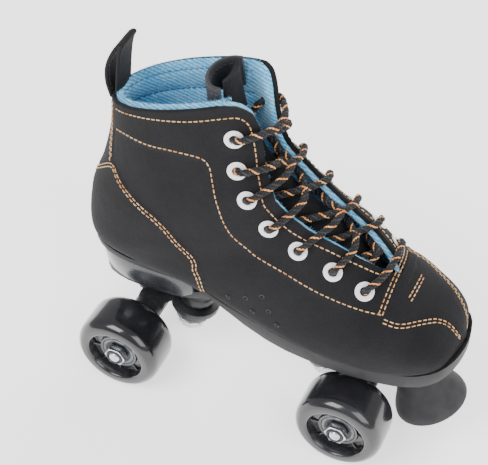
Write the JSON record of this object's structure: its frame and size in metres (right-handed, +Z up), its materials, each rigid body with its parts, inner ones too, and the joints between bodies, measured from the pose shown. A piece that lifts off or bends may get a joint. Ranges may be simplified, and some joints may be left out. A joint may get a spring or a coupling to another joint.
{
  "type": "quad roller skate",
  "caption": "High-top laced boot with a padded knit lining on a moulded plate, with sprung steering trucks, urethane wheels on ball bearings and an adjustable toe stop.",
  "frame": {"origin": "on the ground, under the middle of the box around the skate", "axes": "+X to the toe, +Y to the outer side of the left foot, +Z up"},
  "size_m": [0.2574, 0.1172, 0.2465],
  "materials": {
    "nubuck": "matte nubuck with a fine nap",
    "terry": "looped terry knit",
    "webbing": "close woven tape",
    "lace_cord": "round braid, black with orange and cream flecks",
    "sole_rubber": "satin moulded rubber",
    "heel_plastic": "glossy moulded block",
    "insole_foam": "knit faced foam",
    "plate_nylon": "moulded glass-filled nylon",
    "truck_alloy": "black powder coat on cast aluminium",
    "zinc_steel": "bright zinc plate",
    "bearing_steel": "ground steel",
    "eyelet_enamel": "white enamel",
    "wheel_urethane": "glossy cast urethane",
    "cushion_urethane": "satin cast urethane",
    "cup_urethane": "satin cast urethane",
    "stop_rubber": "matte moulded rubber"
  },
  "bodies": {
    "root": {"boot_upper": "nubuck", "boot_lining": "terry", "insole": "insole_foam", "tongue": "webbing", "heel_pull_loop": "webbing", "outsole": "sole_rubber", "heel_block": "heel_plastic", "eyelet_inner_1": "eyelet_enamel", "eyelet_inner_2": "eyelet_enamel", "eyelet_inner_3": "eyelet_enamel", "eyelet_inner_4": "eyelet_enamel", "eyelet_inner_5": "eyelet_enamel", "eyelet_inner_6": "eyelet_enamel", "eyelet_inner_7": "eyelet_enamel", "eyelet_outer_1": "eyelet_enamel", "eyelet_outer_2": "eyelet_enamel", "eyelet_outer_3": "eyelet_enamel", "eyelet_outer_4": "eyelet_enamel", "eyelet_outer_5": "eyelet_enamel", "eyelet_outer_6": "eyelet_enamel", "eyelet_outer_7": "eyelet_enamel", "lace": "lace_cord", "plate": "plate_nylon", "mount_bolt_front_outer": "zinc_steel", "mount_bolt_front_inner": "zinc_steel", "mount_bolt_rear_outer": "zinc_steel", "mount_bolt_rear_inner": "zinc_steel", "cushion_upper_front": "cushion_urethane", "cushion_lower_front": "cushion_urethane", "kingpin_front": "zinc_steel", "kingpin_nut_front": "zinc_steel", "pivot_cup_front": "cup_urethane", "cushion_upper_rear": "cushion_urethane", "cushion_lower_rear": "cushion_urethane", "kingpin_rear": "zinc_steel", "kingpin_nut_rear": "zinc_steel", "pivot_cup_rear": "cup_urethane", "toe_stop_jam_nut": "zinc_steel"},
    "truck_front": {"hanger_front": "truck_alloy", "axle_front": "zinc_steel", "axle_nut_front_outer": "zinc_steel", "axle_nut_front_inner": "zinc_steel"},
    "rolling_front_outer": {"wheel_front_outer": "wheel_urethane", "bearing_outboard_front_outer": "bearing_steel", "bearing_inboard_front_outer": "bearing_steel"},
    "rolling_front_inner": {"wheel_front_inner": "wheel_urethane", "bearing_outboard_front_inner": "bearing_steel", "bearing_inboard_front_inner": "bearing_steel"},
    "truck_rear": {"hanger_rear": "truck_alloy", "axle_rear": "zinc_steel", "axle_nut_rear_outer": "zinc_steel", "axle_nut_rear_inner": "zinc_steel"},
    "rolling_rear_outer": {"wheel_rear_outer": "wheel_urethane", "bearing_outboard_rear_outer": "bearing_steel", "bearing_inboard_rear_outer": "bearing_steel"},
    "rolling_rear_inner": {"wheel_rear_inner": "wheel_urethane", "bearing_outboard_rear_inner": "bearing_steel", "bearing_inboard_rear_inner": "bearing_steel"},
    "toe_stop": {"toe_stop_pad": "stop_rubber", "toe_stop_stem": "zinc_steel"}
  },
  "joints": [
    {"name": "truck_front_lean", "type": "hinge", "parent": "root", "child": "truck_front", "pos_m": [0.06485, 0, 0.04923], "axis": [0.9781, 0, 0.2079], "range_deg": [-8, 8], "stiffness_Nm_per_rad": 25, "deforming": ["cushion_upper_front", "cushion_lower_front"]},
    {"name": "wheel_front_outer_spin", "type": "hinge", "parent": "truck_front", "child": "rolling_front_outer", "pos_m": [0.06285, 0.042, 0.029], "axis": [0, 1, 0], "continuous": true},
    {"name": "wheel_front_inner_spin", "type": "hinge", "parent": "truck_front", "child": "rolling_front_inner", "pos_m": [0.06285, -0.042, 0.029], "axis": [0, 1, 0], "continuous": true},
    {"name": "truck_rear_lean", "type": "hinge", "parent": "root", "child": "truck_rear", "pos_m": [-0.09415, 0, 0.04923], "axis": [-0.9781, 0, 0.2079], "range_deg": [-8, 8], "stiffness_Nm_per_rad": 25, "deforming": ["cushion_upper_rear", "cushion_lower_rear"]},
    {"name": "wheel_rear_outer_spin", "type": "hinge", "parent": "truck_rear", "child": "rolling_rear_outer", "pos_m": [-0.09215, 0.042, 0.029], "axis": [0, 1, 0], "continuous": true},
    {"name": "wheel_rear_inner_spin", "type": "hinge", "parent": "truck_rear", "child": "rolling_rear_inner", "pos_m": [-0.09215, -0.042, 0.029], "axis": [0, 1, 0], "continuous": true},
    {"name": "toe_stop_height", "type": "slide", "parent": "root", "child": "toe_stop", "axis": [0.4226, 0, -0.9063], "range_m": [-0.002, 0.008]}
  ]
}
